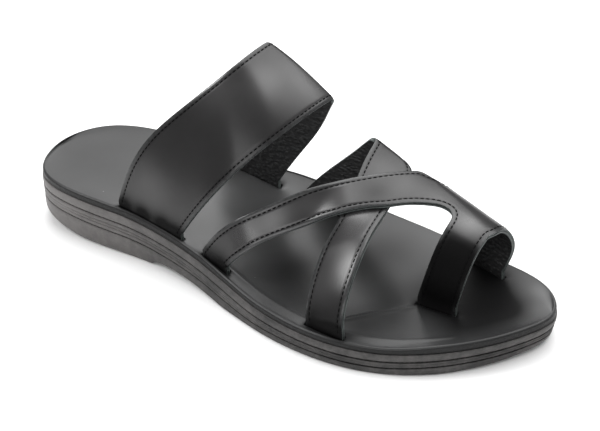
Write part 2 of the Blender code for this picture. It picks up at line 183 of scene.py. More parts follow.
def shares(points):  # along and across shares of points in the object's frame
    return ((points[..., 0] + foot["middle"][0]) / foot["length"],
            (points[..., 1] + foot["middle"][1]) / foot["ballWidth"])


# Camera at the photograph's viewing angle

camera = {
    "place": (0.310657, -0.416722, 0.371915),
    "right": (0.83053809, 0.55559031, -0.03906272),
    "up": (-0.27907504, 0.47582595, 0.83409039),
    "lens": 76.06,
    "sensor": 36.0,
}


def makeCamera(wanted):
    right, up, place = (Vector(wanted[name]) for name in ("right", "up", "place"))
    view = bpy.data.cameras.new("camera")
    view.lens = wanted["lens"]
    view.sensor_width = wanted["sensor"]
    view.clip_start = 0.01
    holder = placed("camera", view)
    holder.matrix_world = framed(right, up, right.cross(up), place)
    bpy.context.scene.camera = holder


makeCamera(camera)
print("camera placed")


# Shader trees: one socket as a Python value

class Wire:
    def __init__(self, tree, socket):
        self.tree = tree
        self.socket = socket

    def node(self, kind, settings, sockets, output=0):
        made = self.tree.nodes.new(kind)
        for name, value in settings.items():
            setattr(made, name, value)
        for name, value in sockets.items():
            if isinstance(value, Wire):
                self.tree.links.new(value.socket, made.inputs[name])
            else:
                made.inputs[name].default_value = value
        return Wire(self.tree, made.outputs[output])

    def maths(self, operation, first, second):
        return self.node("ShaderNodeMath", {"operation": operation}, {0: first, 1: second})

    def __add__(self, other):
        return self.maths("ADD", self, other)

    def __mul__(self, other):
        return self.maths("MULTIPLY", self, other)

    def __rsub__(self, other):
        return self.maths("SUBTRACT", other, self)

    __radd__ = __add__
    __rmul__ = __mul__

    def between(self, low, high):  # 0 below low, 1 above high, smooth between
        return self.node("ShaderNodeMapRange", {"interpolation_type": "SMOOTHSTEP"},
                         {"Value": self, "From Min": low, "From Max": high})

    def noise(self, scale, detail=2.0, rough=0.5):
        return self.node("ShaderNodeTexNoise", {}, {"Vector": self, "Scale": scale, "Detail": detail,
                                                    "Roughness": rough})

    def cells(self, scale, feature="F1"):
        return self.node("ShaderNodeTexVoronoi", {"feature": feature}, {"Vector": self, "Scale": scale})

    def stretched(self, scale):
        return self.node("ShaderNodeMapping", {}, {"Vector": self, "Scale": scale})

    def blend(self, first, second):  # two colours by this amount
        colours = {name: value if isinstance(value, Wire) else (*value, 1.0)
                   for name, value in (("A", first), ("B", second))}
        return self.node("ShaderNodeMix", {"data_type": "RGBA"}, {"Factor": self, **colours}, 2)


def newMaterial(name, look, recipe):
    surface = bpy.data.materials.new(name)
    surface.use_nodes = True
    tree = surface.node_tree
    shader = tree.nodes["Principled BSDF"]
    shader.inputs["Base Color"].default_value = (*look["colour"], 1.0)
    shader.inputs["Specular IOR Level"].default_value = look["specular"]
    shader.inputs["Coat Roughness"].default_value = look.get("coatRoughness", 0.3)
    shader.inputs["Coat IOR"].default_value = look.get("coatIor", 1.5)
    start = Wire(tree, None)
    place = start.node("ShaderNodeTexCoord", {}, {}, 3)
    for socket, value in recipe(start, place).items():
        if socket == "Bump":
            height, strength, distance = value
            value = start.node("ShaderNodeBump", {}, {"Height": height, "Strength": strength,
                                                      "Distance": distance})
            socket = "Normal"
        tree.links.new(value.socket, shader.inputs[socket])
    return surface


def attribute(start, name):
    return start.node("ShaderNodeAttribute", {"attribute_name": name}, {}, 2)


strapLook = {
    "colour": (0.0022, 0.0021, 0.0022),
    # painted highlight: the lighter leather colour that the painted sheen brings in
    "paintedLightAndMottle": (0.022, 0.0209, 0.0216),
    "margin": (0.030, 0.0315, 0.032),
    # painted shade in the stitch channels
    "stitchShade": (0.0012, 0.0012, 0.0012),
    "cloudScale": 55.0,
    "poreScale": 1500.0,
    "grainScale": 520.0,
    "grainDepth": 0.00016,
    "grainStrength": 0.16,
    "specular": 0.06,
    "coatRoughness": 0.26,
    "coatIor": 1.75,
}


def strapRecipe(start, place):
    cloud = place.noise(strapLook["cloudScale"], 3.0, 0.6)
    grain = place.noise(strapLook["grainScale"], 4.0, 0.6)
    pores = place.cells(strapLook["poreScale"]).between(0.05, 0.45)
    margin, sheen, stitchShade = (attribute(start, name) for name in ("margin", "sheen", "stitchShade"))
    # painted highlight and shade: the sheen spots lighten the colour and raise the gloss, with a random
    # cloud through them
    body = (sheen * (0.7 + 0.6 * cloud)).blend(strapLook["colour"], strapLook["paintedLightAndMottle"])
    rub = margin * grain.between(0.3, 0.6) * sheen.between(0.0, 0.35)
    rolled = rub.blend(body, strapLook["margin"])
    return {
        "Base Color": stitchShade.blend(rolled, strapLook["stitchShade"]),
        "Roughness": 0.42 + 0.12 * cloud + 0.10 * grain,
        "Coat Weight": sheen * (1 - 0.8 * stitchShade) * (0.85 + 0.3 * cloud),
        "Bump": (grain * 0.6 + pores * 0.4, strapLook["grainStrength"], strapLook["grainDepth"]),
    }


edgeLook = {
    "colour": (0.045, 0.054, 0.053),
    "light": (0.115, 0.132, 0.128),
    "fibreScale": 900.0,
    "blotchScale": 180.0,
    "specular": 0.5,
}


def edgeRecipe(start, place):
    fibre = place.noise(edgeLook["fibreScale"], 4.0, 0.65)
    blotch = place.noise(edgeLook["blotchScale"])
    light = (fibre * 0.6 + blotch * 0.4).between(0.35, 0.68)
    return {
        "Base Color": light.blend(edgeLook["colour"], edgeLook["light"]),
        "Roughness": 0.45 + 0.2 * fibre,
        "Bump": (fibre, 0.5, 0.0002),
    }


liningLook = {
    "colour": (0.010, 0.010, 0.0105),
    "raised": (0.026, 0.027, 0.027),
    "pebbleScale": 430.0,
    "pebbleStretch": (1.0, 1.0, 1.7),
    "pebbleBend": 0.0016,
    "bendScale": 260.0,
    "foldScale": 150.0,
    "specular": 0.5,
}


def liningRecipe(start, place):
    drawn = place.stretched(liningLook["pebbleStretch"])
    bend = drawn.noise(liningLook["bendScale"]) * liningLook["pebbleBend"]
    bent = drawn.node("ShaderNodeVectorMath", {"operation": "ADD"}, {0: drawn, 1: bend})
    folds = drawn.noise(liningLook["foldScale"], 4.0, 0.6)
    raised = 1 - bent.cells(liningLook["pebbleScale"], "SMOOTH_F1").between(0.1, 0.6)
    light = (raised * 0.5 + folds * 0.5).between(0.35, 0.8)
    return {
        "Base Color": light.blend(liningLook["colour"], liningLook["raised"]),
        "Roughness": 0.38 + 0.25 * (1 - raised),
        "Bump": (raised * 0.6 + folds, 0.9, 0.0006),
    }


threadLook = {"colour": (0.0018, 0.0018, 0.002), "twistScale": 2600.0, "specular": 0.06}


def threadRecipe(start, place):
    twist = place.noise(threadLook["twistScale"])
    return {"Roughness": 0.6 + 0.25 * twist, "Bump": (twist, 0.4, 0.0001)}


insoleLook = {
    "colour": (0.0045, 0.0045, 0.0047),
    # painted highlight: the lighter insole colour that the painted sheen brings in
    "paintedLightAndMottle": (0.040, 0.0405, 0.041),
    "speck": (0.16, 0.16, 0.155),
    "pit": (0.004, 0.004, 0.004),
    "cloudScale": 38.0,
    "grainScale": 900.0,
    "speckScale": 85.0,
    "pitScale": 60.0,
    "specular": 0.10,
    "coatRoughness": 0.32,
    "coatIor": 1.5,
}


def insoleRecipe(start, place):
    cloud = place.noise(insoleLook["cloudScale"], 3.0, 0.55)
    grain = place.noise(insoleLook["grainScale"], 4.0, 0.6)
    sheen, slotShadow = (attribute(start, name) for name in ("sheen", "slotShadow"))
    specks = 1 - place.cells(insoleLook["speckScale"]).between(0.018, 0.034)
    speck = specks * place.noise(70.0, 0.0).between(0.54, 0.58)  # only some of the dots show
    pits = 1 - place.cells(insoleLook["pitScale"]).between(0.014, 0.026)
    pit = pits * place.noise(47.0, 0.0).between(0.55, 0.60)
    # painted highlight and shade from the sheen spots, darkened by the painted slot shadow, with a random
    # cloud
    level = sheen * (0.8 + 0.4 * cloud) * (1 - 0.75 * slotShadow)
    body = level.blend(insoleLook["colour"], insoleLook["paintedLightAndMottle"])
    specked = speck.blend(body, insoleLook["speck"])
    return {
        "Base Color": pit.blend(specked, insoleLook["pit"]),
        "Roughness": 0.42 + 0.12 * cloud + 0.08 * grain,
        "Coat Weight": level,
        "Bump": (grain, 0.14, 0.0001),
    }


boardLook = {
    "colour": (0.0035, 0.0035, 0.0037),
    "lit": (0.022, 0.0225, 0.0235),
    "lumpScale": 420.0,
    "fleckScale": 1500.0,
    "specular": 0.3,
}


def boardRecipe(start, place):
    lumps = place.noise(boardLook["lumpScale"], 4.0, 0.7)
    flecks = place.noise(boardLook["fleckScale"], 3.0, 0.6)
    light = (lumps * flecks).between(0.30, 0.48)
    return {
        "Base Color": light.blend(boardLook["colour"], boardLook["lit"]),
        "Roughness": 0.35 + 0.3 * lumps,
        "Bump": (lumps + flecks * 0.4, 0.8, 0.0005),
    }


rubberLook = {
    "colour": (0.011, 0.0105, 0.0104),
    # the lighter colour of the random dust mottle and of the painted heel light
    "paintedLightAndMottle": (0.112, 0.105, 0.102),
    # painted shade at the bottom of the grooves
    "groove": (0.006, 0.006, 0.006),
    "cloudScale": 60.0,
    "grainScale": 1400.0,
    "dustScale": 320.0,
    "paintedHeelLight": (-0.11, 0.01),  # painted light: lighter towards the heel, full at the first and gone at the second
    "specular": 0.5,
}


def rubberRecipe(start, place):
    cloud = place.noise(rubberLook["cloudScale"], 4.0, 0.6)
    grain = place.noise(rubberLook["grainScale"], 3.0, 0.6)
    dust = place.noise(rubberLook["dustScale"], 5.0, 0.7)
    forwards = place.node("ShaderNodeSeparateXYZ", {}, {"Vector": place})
    # painted light: the sole's side turns lighter towards the heel, on top of the random mottle
    heel = 1 - forwards.between(*rubberLook["paintedHeelLight"])
    paintedLightAndMottle = (cloud * 0.5 + dust * 0.5).between(0.35, 0.7) * 0.6 + heel * 0.65
    body = paintedLightAndMottle.blend(rubberLook["colour"], rubberLook["paintedLightAndMottle"])
    return {
        "Base Color": attribute(start, "groove").blend(body, rubberLook["groove"]),
        "Roughness": 0.42 + 0.16 * dust,
        "Bump": (grain * 0.5 + dust * 0.5, 0.3, 0.0002),
    }


looks = {
    "strap": newMaterial("strap_leather", strapLook, strapRecipe),
    "edge": newMaterial("strap_edge_paint", edgeLook, edgeRecipe),
    "lining": newMaterial("strap_lining", liningLook, liningRecipe),
    "thread": newMaterial("black_thread", threadLook, threadRecipe),
    "insole": newMaterial("insole_leather", insoleLook, insoleRecipe),
    "board": newMaterial("insole_edge_paint", boardLook, boardRecipe),
    "rubber": newMaterial("outsole_rubber", rubberLook, rubberRecipe),
}
print("materials made")


# Mesh helpers

def places(shape):
    return np.array([corner.co for corner in shape.verts])


def move(shape, points):
    for corner, point in zip(shape.verts, points):
        corner.co = point


def sheet(across, down, place):  # a grid whose corners go where place(u, v) says, u and v from 0 to 1
    shape = bmesh.new()
    bmesh.ops.create_grid(shape, x_segments=across, y_segments=down, size=0.5)
    spots = places(shape)
    move(shape, place(spots[:, 0] + 0.5, spots[:, 1] + 0.5))
    return shape


def join(shape, other):  # put a second bmesh into the first
    carrier = bpy.data.meshes.new("carrier")
    other.to_mesh(carrier)
    other.free()
    shape.from_mesh(carrier)
    bpy.data.meshes.remove(carrier)


def outwards(shape):
    highest = max(shape.verts, key=lambda corner: corner.co.z)
    shape.normal_update()
    if highest.normal.z < 0:
        bmesh.ops.reverse_faces(shape, faces=shape.faces[:])
    shape.normal_update()


def closedOutwards(shape):
    bmesh.ops.remove_doubles(shape, verts=shape.verts[:], dist=1e-6)
    bmesh.ops.dissolve_degenerate(shape, dist=1e-7, edges=shape.edges[:])
    bmesh.ops.recalc_face_normals(shape, faces=shape.faces[:])


def finished(name, shape, surfaces, attributes=None, stands=()):
    mesh = bpy.data.meshes.new(name)
    shape.to_mesh(mesh)
    shape.free()
    mesh.shade_smooth()
    for surface in surfaces:
        mesh.materials.append(looks[surface])
    for label, values in (attributes or {}).items():
        layer = mesh.attributes.new(label, "FLOAT", "POINT")
        corners = np.array([corner.co for corner in mesh.vertices])
        layer.data.foreach_set("value", np.asarray(values(corners), np.float32))
    piece = placed(name, mesh)
    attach(piece, "root")
    if stands:
        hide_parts(*stands)


def nearest(points):  # a function that gives each place's distance to a set of points
    tree = KDTree(len(points))
    for number, point in enumerate(points):
        tree.insert(point, number)
    tree.balance()
    return lambda spots: np.array([tree.find(spot)[2] for spot in spots])


# Painted highlight and shade: soft spots that lighten or darken the colour and the gloss
def paintedSheen(spots, level):  # how far the leather shines, from soft spots given one by one
    def values(corners):
        total = np.full(len(corners), level)
        for point, reach, part in spots:
            total += part * np.exp(-((corners - point) ** 2).sum(1) / reach ** 2)
        return np.clip(total, 0, 1)
    return values


def evenly(points, pitch):  # points along a line at an even pitch
    points = np.asarray(points)
    run = runAlong(points)
    at = np.linspace(0, run[-1], max(int(round(run[-1] / pitch)), 1) + 1)
    return np.stack([np.interp(at, run, points[:, k]) for k in range(3)], 1)


# Sole

sole = {
    "stations": 300,
    "insoleThick": 0.0040,
    "fitGap": 0.0003,
    "welt": 0.0005,
    "edgeRound": 0.0010,
    "dish": 0.0012,
    "grooveWidth": 0.0009,
    "grooveDepth": 0.0009,
    "ribBulge": 0.00022,
    "fineLines": (0.34, 0.62),  # two scored lines between the grooves, as shares from the upper one
    "fineLineSpan": (0.10, 0.20, 0.62, 0.78),  # where along the sole they come in and fade out
    "fineLineDepth": 0.00028,
    "fineLineWidth": 0.0005,
    "treadDepth": 0.0012,
    "treadEdge": 0.12,
    "treadSoft": 0.02,
    "treadZones": ((0.07, 0.15), (0.22, 0.28), (0.55, 0.64), (0.74, 0.92)),
    "treadFade": 0.006,
    "treadPitch": 0.0119,
}
grooves = columns("along upper lower", (
    (0.00, 0.0044, 0.0104), (0.22, 0.0049, 0.0122), (0.70, 0.0034, 0.0067), (1.00, 0.0034, 0.0067),
))
grooveShape = ((0.06, 0.18), (0.16, 0.6), (0.3, 0.94), (0.5, 1.0), (0.7, 0.94), (0.84, 0.6), (0.94, 0.18))
fineLineShape = ((-0.3, 0.7), (0.0, 1.0), (0.3, 0.7))


def outlineSide(side):
    other = "outer" if side == "inner" else "inner"
    rows = list(zip(outline["along"], outline[side]))
    back = list(zip(outline["along"], outline[other]))
    route = np.array([back[1], back[0], heelTip] + rows + [toeTip, back[-1], back[-2]])
    scale = np.array([foot["length"], foot["ballWidth"]])
    chord = np.linalg.norm(np.diff(route * scale, axis=0), axis=1) ** 0.75
    at = np.concatenate([[0], np.cumsum(chord)])
    fine = np.linspace(at[2], at[-3], 1200)
    curve = np.stack([through(at, route[:, k], fine) for k in (0, 1)], 1)
    run = runAlong(curve * scale)
    even = np.linspace(0, run[-1], sole["stations"] + 1)
    return np.stack([np.interp(even, run, curve[:, k]) for k in (0, 1)], 1)


ring = np.concatenate([outlineSide("inner"), outlineSide("outer")[-2:0:-1]])
ringPoints = ring * np.array([foot["length"], foot["ballWidth"]])
ringRun = np.roll(ringPoints, -1, 0) - np.roll(ringPoints, 1, 0)
ringRun = ringRun / np.linalg.norm(ringRun, axis=1)[:, None]
ringNormals = np.stack([-ringRun[:, 1], ringRun[:, 0]], 1)
ringPoints = ringPoints - np.array(foot["middle"])


def outsoleTop(along, across):
    return rest(along, across) - sole["insoleThick"]


def bottomHeight(along):
    return foot["heelHeight"] * eased(ground["along"], ground["lift"], along)


def sideLevel(depth, inset=0.0):  # a ring of the outsole's side, by its depth below the top
    along, across = ring[:, 0], ring[:, 1]
    rounding = eased(ground["along"], ground["rounding"], along)
    full = foot["heelHeight"] * eased(profile["along"], profile["rest"], along) - sole["insoleThick"]
    part = np.minimum(depth / np.maximum(full - bottomHeight(along), 0.004), 1)
    outset = sole["welt"] + part * eased(ground["along"], ground["spread"], along) - inset
    lowest = bottomHeight(along) + rounding + 0.2 * sole["edgeRound"]
    height = np.maximum(outsoleTop(along, across) - depth, lowest)
    return np.column_stack([ringPoints + outset[:, None] * ringNormals, height])


def outsoleRings():
    along = ring[:, 0]
    upper, lower = (eased(grooves["along"], grooves[name], along) for name in ("upper", "lower"))
    rounding = eased(ground["along"], ground["rounding"], along)
    deepest = outsoleTop(along, ring[:, 1]) - bottomHeight(along) - rounding
    width, depth, edge = sole["grooveWidth"], sole["grooveDepth"], sole["edgeRound"]
    rings, dark = [], []

    def add(level, shade=0.0):
        rings.append(level)
        dark.append(shade)

    def rib(top, bottom, rows):
        for share in np.linspace(0, 1, rows):
            bulge = sole["ribBulge"] * (1 - (2 * share - 1) ** 2)
            add(sideLevel(top + share * (bottom - top), -bulge))

    def groove(at):
        for below, inwards in grooveShape:
            add(sideLevel(at + below * width, inwards * depth), float(inwards > 0.5))

    for turn in (0, 30, 60):
        down, out = math.cos(math.radians(turn)), math.sin(math.radians(turn))
        add(sideLevel(edge * 0.5 * (1 - down), edge * 0.5 * (1 - out)))
    rib(edge * 0.5, upper, 7)
    groove(upper)
    begin, full, fade, end = sole["fineLineSpan"]
    fineDepth = sole["fineLineDepth"] * step(begin, full, along) * (1 - step(fade, end, along))
    half = sole["fineLineWidth"] / 2
    top, bottom = upper + width, lower
    lines = [top + share * (bottom - top) for share in sole["fineLines"]]
    rib(top, lines[0] - half, 4)
    for number, line in enumerate(lines):
        for below, inwards in fineLineShape:
            add(sideLevel(line + below * sole["fineLineWidth"], inwards * fineDepth))
        rib(line + half, lines[1] - half if number == 0 else bottom, 4)
    groove(lower)
    rib(lower + width, np.maximum(deepest - 0.2 * edge, lower + width), 8)
    spread = sole["welt"] + eased(ground["along"], ground["spread"], along)
    for turn in (0, 18, 36, 54, 72, 90):
        back = 1 - math.cos(math.radians(turn))
        up = 1 - math.sin(math.radians(turn))
        level = ringPoints + (spread - back * rounding)[:, None] * ringNormals
        add(np.column_stack([level, bottomHeight(along) + up * rounding]))
    return np.array(rings), np.array(dark)


def wrapped(rings):  # a closed tube through rings, from a grid whose first and last columns meet
    levels, count = rings.shape[:2]

    def place(u, v):
        return rings[np.round(v * (levels - 1)).astype(int), np.round(u * count).astype(int) % count]
    return sheet(count, levels - 1, place)


def cap(edge, cells, heightOf):  # a grid across the sole, from the inner side to the outer side of a ring
    count = len(edge)
    stations = count // 2

    def place(u, v):
        station = np.round(u * stations).astype(int)
        share = 0.5 - 0.5 * np.cos(np.pi * v)
        inner = edge[station]
        outer = edge[(count - station) % count]
        spot = (1 - share)[:, None] * inner + share[:, None] * outer
        height = heightOf(spot, share, station)
        rim = (v < 1e-6) | (v > 1 - 1e-6) | (station == 0) | (station == stations)
        spot[:, 2] = np.where(rim, spot[:, 2], height)
        return spot
    return sheet(stations, cells, place)


def tread(spot, share, station):
    along, across = shares(spot)
    low = bottomHeight(along)
    x = spot[:, 0] + foot["middle"][0]
    wave = 0.5 + 0.5 * np.cos(2 * np.pi * x / sole["treadPitch"])
    channel = step(0.45, 0.75, wave)
    inside = step(sole["treadEdge"] - sole["treadSoft"], sole["treadEdge"], np.minimum(share, 1 - share))
    fade = sole["treadFade"]
    zone = sum(step(start, start + fade, along) * (1 - step(end - fade, end, along))
               for start, end in sole["treadZones"])
    return low + sole["treadDepth"] * channel * inside * zone


def makeOutsole():
    rings, dark = outsoleRings()
    shape = wrapped(rings)
    join(shape, cap(rings[0], 8, lambda spot, share, station: outsoleTop(*shares(spot))))
    join(shape, cap(rings[-1], 60, tread))
    closedOutwards(shape)
    # painted shade along the bottoms of the grooves, from the rings marked as shade
    lined = nearest(rings[dark > 0.5].reshape(-1, 3)[::2])
    finished("outsole_ribbed", shape, ["rubber"],
             {"groove": lambda spots: 1 - step(0.0001, 0.0004, lined(spots))}, ["outsole"])


makeOutsole()
print("outsole made")


# Straps: the sheets first, since their feet place the insole's slots

strap = {
    "instepWidth": 0.034,
    "crossWidth": 0.0215,
    "toeWidth": 0.026,
    "leather": 0.00142,
    "lining": 0.00094,
    "glue": 0.00004,
    "rowStep": 0.0010,
    "columnStep": 0.00062,
    "marginWidth": 0.0020,
    "marginDrop": 0.00036,
    "marginPaint": (0.0003, 0.0022),
    "edgeRound": 0.00042,
    "stitchInset": 0.0023,
    "stitchAbove": 0.0012,  # the stitches end this far above the footbed
    "stitchPitch": 0.0026,
    "stitchLength": 0.0021,
    "stitchWidth": 0.00075,
    "stitchHeight": 0.00052,
    "channelDepth": 0.00016,
    "channelWidth": 0.00060,
    "seamPaint": (0.0003, 0.0008),
    "seamShade": 0.30,
    "sink": 0.00165,  # where two straps cross, the lower one goes in and the upper one rises
    "raise": 0.00100,
    "sinkFade": 0.0170,
    "crook": 0.0085,  # length of the rounding between the toe strap and its leg
    "crookRounds": 25,
    "sideRise": 0.009,  # a long edge rises more than this from end to end
    "footRows": 5,
    # the base level of the painted sheen, which the spots raise in some places and lower in others
    "sheen": 0.42,
}
instep = columns("angle rear front", (
    (180.0, 0.243, 0.385), (150.0, 0.310, 0.472), (120.0, 0.407, 0.529), (90.0, 0.443, 0.556),
    (60.0, 0.425, 0.547), (30.0, 0.370, 0.514), (0.0, 0.276, 0.438),
))
cross = columns("angle rear front", (
    (180.0, 0.674, 0.745), (150.0, 0.657, 0.736), (120.0, 0.655, 0.727), (90.0, 0.635, 0.715),
    (60.0, 0.613, 0.686), (30.0, 0.570, 0.647), (0.0, 0.489, 0.569),
))
toe = columns("rearAngle rear frontAngle front", (
    (180.0, 0.436, 180.0, 0.494), (165.5, 0.484, 167.2, 0.536), (148.7, 0.540, 151.2, 0.586),
    (125.2, 0.598, 130.5, 0.644), (107.8, 0.659, 112.1, 0.726), (95.6, 0.707, 98.0, 0.822),
    (85.5, 0.740, 98.0, 0.857), (70.6, 0.762, 98.0, 0.890), (50.3, 0.781, 63.3, 0.899),
    (26.2, 0.799, 30.4, 0.905), (0.0, 0.817, 0.0, 0.891),
))
leg = columns("angle rear front", (
    (98.0, 0.822, 0.890), (120.0, 0.823, 0.888), (150.0, 0.815, 0.881), (180.0, 0.799, 0.868),
))
legRows = (5, 7)


def column(table, name, at):
    rows = np.arange(len(table[name]), dtype=float)
    follow = eased if np.any(np.diff(table[name]) == 0) else through
    return follow(rows, table[name], at)


def evenRows(pointAt, stops, pitch):  # row numbers at an even pitch along a strap, with every stop kept
    found = [np.array([float(stops[0])])]
    for start, end in zip(stops[:-1], stops[1:]):
        fine = np.linspace(start, end, 400)
        run = runAlong(pointAt(fine))
        count = max(int(round(run[-1] / pitch)), 2)
        found.append(np.interp(np.linspace(0, run[-1], count + 1)[1:], run, fine))
    return np.concatenate(found)


def grounded(points, drop):  # the part of a strap that goes down through its slot
    low = outsoleTop(*shares(points)) + sole["fitGap"]
    points[..., 2] += drop * (low - points[..., 2])
    return points


def rowsWithFeet(rows, first=True):
    drops = np.linspace(1, 0, strap["footRows"], endpoint=False)
    head = drops if first else []
    numbers = np.concatenate([np.full(len(head), rows[0]), rows, np.full(len(drops), rows[-1])])
    return numbers, np.concatenate([head, np.zeros(len(rows)), drops[::-1]])


def bandPoints(table, at, share):
    angle = column(table, "angle", at)
    rear, front = column(table, "rear", at), column(table, "front", at)
    return formPoints(rear + share * (front - rear), angle)


def footed(pointAt, numbers, drops, cells):  # a strap's sheet, with a row of corners for each row number
    def place(u, v):
        row = np.round(u * (len(numbers) - 1)).astype(int)
        return grounded(pointAt(numbers[row], v), drops[row])
    return sheet(len(numbers) - 1, cells, place)


def bandSheet(table, width):
    rows = evenRows(lambda at: bandPoints(table, at, 0.5), (0, len(table["angle"]) - 1), strap["rowStep"])
    cells = int(round(width / strap["columnStep"]))
    shape = footed(lambda at, v: bandPoints(table, at, v), *rowsWithFeet(rows), cells)
    outwards(shape)
    return shape


def toePoints(at, share):
    angles = [column(toe, name, at) for name in ("rearAngle", "frontAngle")]
    along = [column(toe, name, at) for name in ("rear", "front")]
    loop = np.clip(at - legRows[0] + 1, 0, 1) * share
    angle = angles[0] + share * (angles[1] - angles[0])
    return formPoints(along[0] + share * (along[1] - along[0]), angle, loop)


def legPoints(at, share):
    rear, front = column(leg, "rear", at), column(leg, "front", at)
    return formPoints(rear + share * (front - rear), column(leg, "angle", at), 1.0)


def toeSheet(width):
    stops = (0, *legRows, len(toe["rear"]) - 1)
    rows = evenRows(lambda at: toePoints(at, 0.5), stops, strap["rowStep"] * 0.8)
    shape = footed(toePoints, *rowsWithFeet(rows), int(round(width / strap["columnStep"])))
    legColumns = rows[(rows >= legRows[0] - 1e-6) & (rows <= legRows[1] + 1e-6)]
    fronts = column(toe, "front", legColumns)
    part = (fronts - fronts[0]) / (fronts[-1] - fronts[0])
    last = len(part) - 1
    down = evenRows(lambda at: legPoints(at, 0.5), (0, len(leg["angle"]) - 1), strap["columnStep"])
    join(shape, footed(lambda at, v: legPoints(at, part[np.round(v * last).astype(int)]),
                       *rowsWithFeet(down, first=False), last))
    bmesh.ops.remove_doubles(shape, verts=shape.verts[:], dist=2e-5)
    bmesh.ops.recalc_face_normals(shape, faces=shape.faces[:])
    outwards(shape)
    roundCrook(shape, legPoints(np.array([0.0]), 0.0)[0])
    return shape


def rimEdges(shape):
    return [edge for edge in shape.edges if len(edge.link_faces) == 1]


def sideLines(shape):  # the strap's long edges, corner to corner
    links = {}
    for edge in rimEdges(shape):
        for corner in edge.verts:
            links.setdefault(corner, []).append(edge.other_vert(corner))
    ends = [corner for corner in links if len(corner.link_faces) == 1]
    lines = []
    for start in ends:
        for following in links[start]:
            line = [start, following]
            while line[-1] not in ends:
                line.append(next(c for c in links[line[-1]] if c is not line[-2]))
            heights = [corner.co.z for corner in line]
            if start.index < line[-1].index and max(heights) - min(heights) > strap["sideRise"]:
                lines.append(line)
    return lines


def relaxed(shape, rounds, centre=None, reach=0.0):  # smooth the corners that aren't on the rim
    rim = {corner for edge in rimEdges(shape) for corner in edge.verts}
    loose = [corner for corner in shape.verts
             if corner not in rim and (centre is None or (corner.co - centre).length < reach)]
    for _ in range(rounds):
        bmesh.ops.smooth_vert(shape, verts=loose, factor=0.5,
                              use_axis_x=True, use_axis_y=True, use_axis_z=True)


def roundCrook(shape, corner):
    shape.verts.index_update()
    bend = Vector(corner)
    line = next(line for line in sideLines(shape) if min((c.co - bend).length for c in line) < 1e-4)
    middle = min(range(len(line)), key=lambda k: (line[k].co - bend).length)
    run = np.concatenate([[0], np.cumsum([(a.co - b.co).length for a, b in zip(line[1:], line[:-1])])])
    run -= run[middle]
    near = [k for k in range(len(line)) if abs(run[k]) < strap["crook"]]
    first, last = line[near[0] - 1].co.copy(), line[near[-1] + 1].co.copy()
    turn = line[middle].co.copy()
    low, high = run[near[0] - 1], run[near[-1] + 1]
    for k in near:
        t = (run[k] - low) / (high - low)
        line[k].co = (1 - t) ** 2 * first + 2 * t * (1 - t) * turn + t * t * last
    relaxed(shape, strap["crookRounds"], turn, 2.2 * strap["crook"])


def evened(shape, rounds):  # take the tables' small kinks out of a sheet, with its feet and edges in place
    shape.verts.index_update()
    for _ in range(rounds):
        for line in sideLines(shape):
            spots = np.array([corner.co for corner in line])
            spots[1:-1] = 0.5 * spots[1:-1] + 0.25 * (spots[:-2] + spots[2:])
            for corner, spot in list(zip(line, spots))[8:-8]:
                corner.co = spot
    relaxed(shape, rounds)
    shape.normal_update()


def stitchLines(shape):
    surface = BVHTree.FromBMesh(shape)
    found = []
    for line in sideLines(shape):
        spots = [corner.co.copy() for corner in line]
        inset = []
        for k in range(len(line)):
            run = (spots[min(k + 3, len(line) - 1)] - spots[max(k - 3, 0)]).normalized()
            inwards = line[k].normal.cross(run)
            face = line[k].link_faces[0]
            if inwards.dot(face.calc_center_median() - spots[k]) < 0:
                inwards = -inwards
            on, normal, _, _ = surface.find_nearest(spots[k] + strap["stitchInset"] * inwards.normalized())
            inset.append((*on, *normal))
        inset = np.array(inset)
        along, across = shares(inset)
        kept = inset[inset[:, 2] > rest(along, across) + strap["stitchAbove"]]
        found.append(evenly(kept[:, :3], strap["stitchPitch"] / 8))
    return found


def sewn(name, shape, lines):  # black stitches along the lines, which have 8 points to a stitch
    surface = BVHTree.FromBMesh(shape)
    thread = bmesh.new()
    size = Matrix.Diagonal((strap["stitchLength"], strap["stitchWidth"], strap["stitchHeight"], 1))
    for line in lines:
        for k in range(4, len(line) - 4, 8):
            run = Vector(line[k + 3] - line[k - 3]).normalized()
            on, normal, _, _ = surface.find_nearest(Vector(line[k]))
            side = normal.cross(run).normalized()
            place = framed(run, side, normal, on) @ size
            bmesh.ops.create_uvsphere(thread, u_segments=8, v_segments=5, radius=0.5, matrix=place)
    finished(name, thread, ["thread"])


def layered(name, shape, stands, shine):  # leather with rolled margins, its lining and stitches
    lines = stitchLines(shape)
    sides = [np.array([corner.co for corner in line]) for line in sideLines(shape)]
    toSide = nearest(np.concatenate(sides))
    toStitch = nearest(np.concatenate(lines))
    flat = places(shape)
    normals = np.array([corner.normal for corner in shape.verts])
    side = toSide(flat)
    drop = strap["marginDrop"] * np.clip(1 - side / strap["marginWidth"], 0, 1) ** 2
    drop += strap["channelDepth"] * np.exp(-(toStitch(flat) / strap["channelWidth"]) ** 2)
    inner = shape.copy()
    move(inner, flat - (strap["leather"] + strap["glue"]) * normals)
    move(shape, flat - drop[:, None] * normals)
    shape.normal_update()
    face = shape.copy()
    thicken(shape, strap["leather"] - 0.5 * strap["marginDrop"])
    painted = {
        "margin": lambda spots: 1 - step(*strap["marginPaint"], toSide(spots)),
        # painted shade along the stitch channels
        "stitchShade": lambda spots: strap["seamShade"] * (1 - step(*strap["seamPaint"], toStitch(spots))),
        "sheen": paintedSheen(shine, strap["sheen"]),
    }
    finished(name, shape, ["strap", "edge"], painted, stands)
    thicken(inner, strap["lining"])
    finished(name + "_lining", inner, ["lining", "edge"])
    sewn(name + "_stitches", face, lines)
    face.free()


